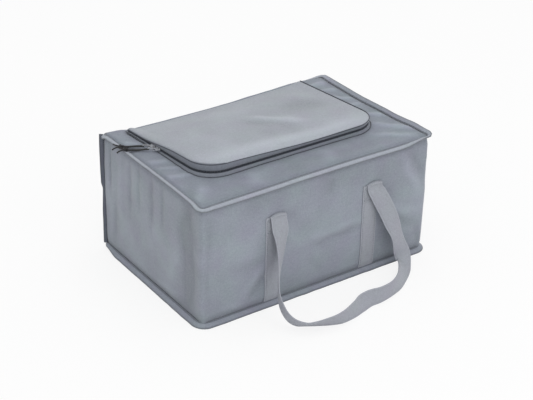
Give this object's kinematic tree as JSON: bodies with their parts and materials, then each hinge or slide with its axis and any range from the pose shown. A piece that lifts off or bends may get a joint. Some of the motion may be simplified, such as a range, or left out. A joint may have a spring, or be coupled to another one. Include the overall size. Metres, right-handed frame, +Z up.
{
  "type": "collapsible insulated bag",
  "caption": "Collapsible soft cooler bag: foam-lined cloth walls, a U-shaped zip lid hinged at the back and two webbing handles.",
  "frame": {"origin": "centre of the bag's flat underside", "axes": "+X along the front wall towards its right end, +Y from the front wall to the back wall, +Z up"},
  "size_m": [0.483, 0.4744, 0.2378],
  "materials": {
    "wall_cloth": "matt plain-woven polyester, slate grey",
    "top_cloth": "matt plain-woven polyester, slate grey, paler where the light falls",
    "binding_tape": "folded woven binding tape, darker grey, stitched",
    "webbing": "ribbed woven webbing, mid grey",
    "zip_tape": "fine woven tape, dark grey",
    "zip_teeth": "satin nylon, dark grey",
    "zip_metal": "bright cast metal",
    "pull_cord": "black braided cord",
    "foam": "white closed-cell foam sheet",
    "lining": "silvered film lining",
    "stiffener": "matt plastic board"
  },
  "bodies": {
    "shell": {"base_panel": "wall_cloth", "bottom_binding": "binding_tape", "base_board": "stiffener", "base_foam": "foam", "base_lining": "lining", "side_wrap": "wall_cloth", "back_panel": "wall_cloth", "back_left_binding": "binding_tape", "back_right_binding": "binding_tape", "front_foam": "foam", "back_foam": "foam", "left_foam": "foam", "right_foam": "foam", "wall_lining": "lining", "front_strap_left": "webbing", "front_strap_right": "webbing", "back_strap_left": "webbing", "back_strap_right": "webbing"},
    "top": {"top_panel": "top_cloth", "top_binding": "binding_tape", "top_foam": "foam", "top_lining": "lining", "zip_tape_lower": "zip_tape", "zip_teeth_lower": "zip_teeth"},
    "lid": {"lid_panel": "top_cloth", "lid_foam": "foam", "lid_lining": "lining", "zip_tape_upper": "zip_tape", "zip_teeth_upper": "zip_teeth"},
    "front_anchor": {"front_tack_left": "webbing", "front_tack_right": "webbing"},
    "back_anchor": {"back_tack_left": "webbing", "back_tack_right": "webbing"},
    "front_handle": {"front_handle_loop": "webbing"},
    "back_handle": {"back_handle_loop": "webbing"},
    "front_slider": {"slider_front": "zip_metal"},
    "rear_slider": {"slider_rear": "zip_metal"},
    "front_pull": {"pull_tab_front": "zip_metal", "pull_cord_front": "pull_cord", "pull_knot_front": "pull_cord"},
    "rear_pull": {"pull_tab_rear": "zip_metal", "pull_cord_rear": "pull_cord", "pull_knot_rear": "pull_cord"}
  },
  "joints": [
    {"name": "collapse", "type": "slide", "parent": "shell", "child": "top", "axis": [0, 0, 1], "range_m": [-0.15, 0], "deforming": ["side_wrap", "back_panel", "back_left_binding", "back_right_binding", "front_foam", "back_foam", "left_foam", "right_foam", "wall_lining", "front_strap_left", "front_strap_right", "back_strap_left", "back_strap_right"]},
    {"name": "front_anchor_drop", "type": "slide", "parent": "shell", "child": "front_anchor", "axis": [0, 0, 1], "range_m": [-0.1125, 0]},
    {"name": "back_anchor_drop", "type": "slide", "parent": "shell", "child": "back_anchor", "axis": [0, 0, 1], "range_m": [-0.1125, 0]},
    {"name": "lid_hinge", "type": "hinge", "parent": "top", "child": "lid", "pos_m": [0, 0.141, 0.2248], "axis": [-1, 0, 0], "range_deg": [0, 180]},
    {"name": "front_handle_hinge", "type": "hinge", "parent": "front_anchor", "child": "front_handle", "pos_m": [0, -0.15275, 0.165], "axis": [-1, 0, 0], "range_deg": [0, 130]},
    {"name": "back_handle_hinge", "type": "hinge", "parent": "back_anchor", "child": "back_handle", "pos_m": [0, 0.15275, 0.165], "axis": [-1, 0, 0], "range_deg": [-130, 0]},
    {"name": "front_slider_run", "type": "slide", "parent": "top", "child": "front_slider", "axis": [0.0671, -0.9975, 0.0221], "range_m": [0, 0.07], "deforming": ["zip_teeth_lower", "zip_teeth_upper"]},
    {"name": "rear_slider_run", "type": "slide", "parent": "top", "child": "rear_slider", "axis": [-0.0671, 0.9975, -0.0221], "range_m": [0, 0.06], "deforming": ["zip_teeth_lower", "zip_teeth_upper"]},
    {"name": "front_pull_swing", "type": "hinge", "parent": "front_slider", "child": "front_pull", "pos_m": [-0.18815, 0.04275, 0.22573], "axis": [0, 0, 1], "range_deg": [0, 100]},
    {"name": "rear_pull_swing", "type": "hinge", "parent": "rear_slider", "child": "rear_pull", "pos_m": [-0.18909, 0.05675, 0.22542], "axis": [0, 0, 1], "range_deg": [-36, 0]}
  ],
  "couplings": [
    {"joint": "front_anchor_drop", "follows": "collapse", "ratio": 0.75},
    {"joint": "back_anchor_drop", "follows": "collapse", "ratio": 0.75}
  ]
}
